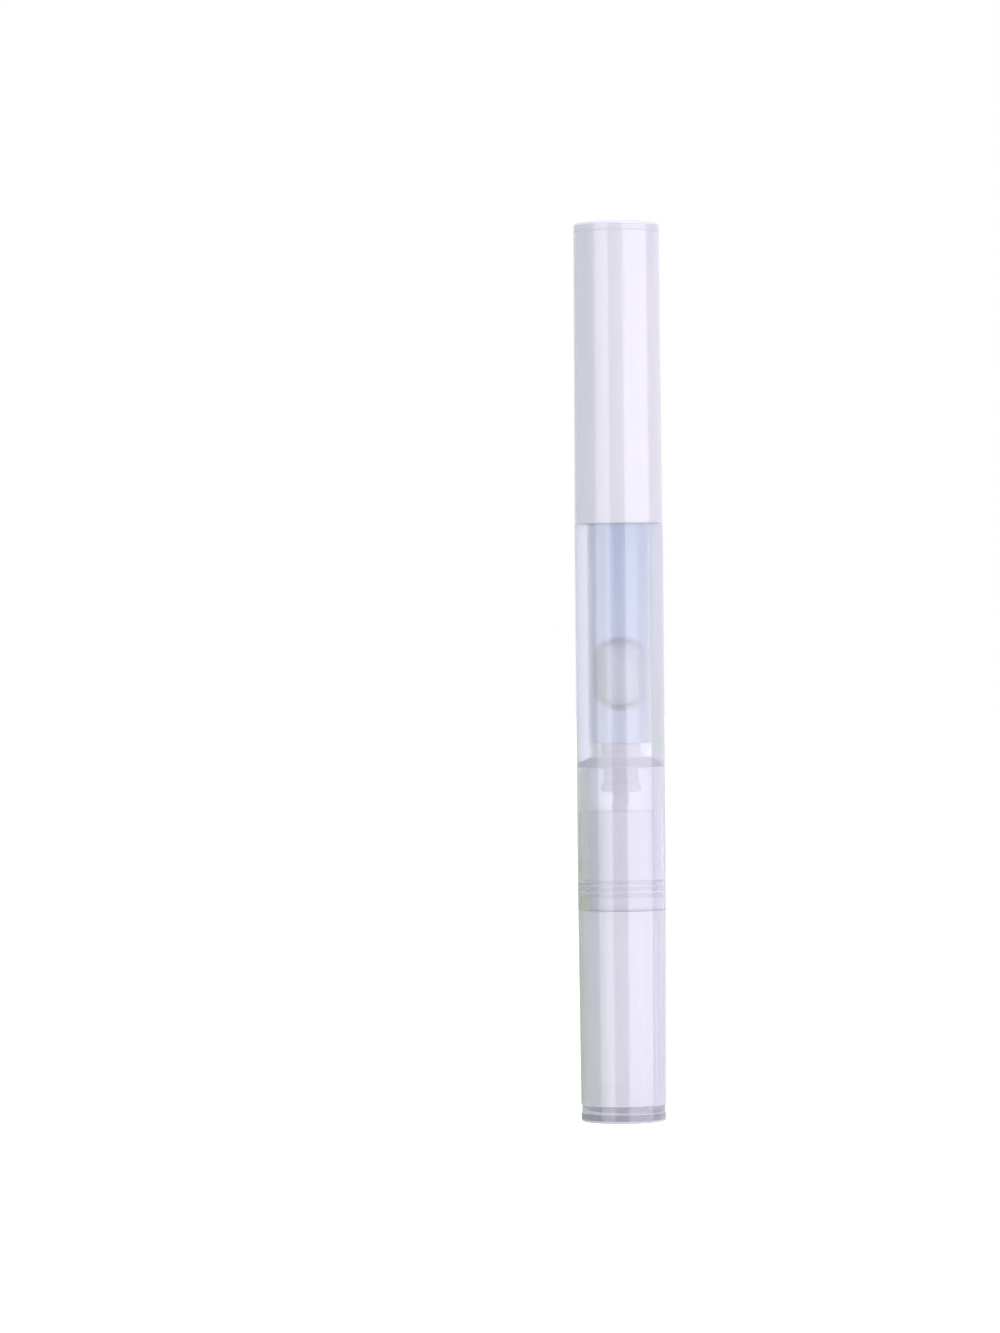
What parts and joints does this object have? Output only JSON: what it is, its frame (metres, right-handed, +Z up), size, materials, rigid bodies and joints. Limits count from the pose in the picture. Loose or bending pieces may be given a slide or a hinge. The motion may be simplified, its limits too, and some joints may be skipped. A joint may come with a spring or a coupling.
{
  "type": "nail oil pen",
  "caption": "Slim translucent lavender twist pen: turning the end knob feeds nail oil to a brush tip under a long pull-off cap.",
  "frame": {"origin": "centre of the flat base under the end plug, with the pen standing on it", "axes": "+Z up along the pen's axis, from the knob end to the cap end"},
  "size_m": [0.0132, 0.0132, 0.133],
  "materials": {
    "shell_plastic": "translucent moulded, gloss",
    "end_plastic": "translucent moulded, gloss",
    "mechanism_plastic": "natural acetal, satin",
    "rod_plastic": "white moulded, satin",
    "piston_plastic": "soft waxy moulded",
    "nail_oil": "clear pale blue liquid",
    "seal_rubber": "soft clear seal",
    "tube_plastic": "clear extruded tube",
    "liner_plastic": "natural translucent moulded",
    "ferrule_plastic": "moulded, satin",
    "bristle_nylon": "fine nylon filament"
  },
  "bodies": {
    "barrel": {"barrel": "shell_plastic", "rear_bush": "mechanism_plastic", "ratchet_ring": "mechanism_plastic", "thread_nut": "mechanism_plastic", "oil_fill": "nail_oil", "nozzle_seal": "seal_rubber", "feed_tube": "tube_plastic", "nozzle": "liner_plastic", "brush_ferrule": "ferrule_plastic", "bristles": "bristle_nylon"},
    "cap": {"cap": "shell_plastic", "cap_liner": "liner_plastic", "cap_top": "end_plastic"},
    "knob": {"knob": "shell_plastic", "drive_sleeve": "mechanism_plastic", "click_ring": "mechanism_plastic", "end_plug": "end_plastic"},
    "rod": {"screw_rod": "rod_plastic"},
    "piston": {"piston": "piston_plastic"}
  },
  "joints": [
    {"name": "cap_slide", "type": "slide", "parent": "barrel", "child": "cap", "axis": [0, 0, 1], "range_m": [0, 0.05]},
    {"name": "knob_turn", "type": "hinge", "parent": "barrel", "child": "knob", "pos_m": [0, 0, 0.02], "axis": [0, 0, 1], "range_deg": [0, 4140]},
    {"name": "rod_feed", "type": "slide", "parent": "knob", "child": "rod", "axis": [0, 0, 1], "range_m": [0, 0.0345]},
    {"name": "piston_feed", "type": "slide", "parent": "barrel", "child": "piston", "axis": [0, 0, 1], "range_m": [0, 0.0345], "deforming": ["oil_fill"]}
  ],
  "couplings": [
    {"joint": "rod_feed", "follows": "knob_turn", "m_per_rad": 0.00047746},
    {"joint": "piston_feed", "follows": "knob_turn", "m_per_rad": 0.00047746}
  ]
}
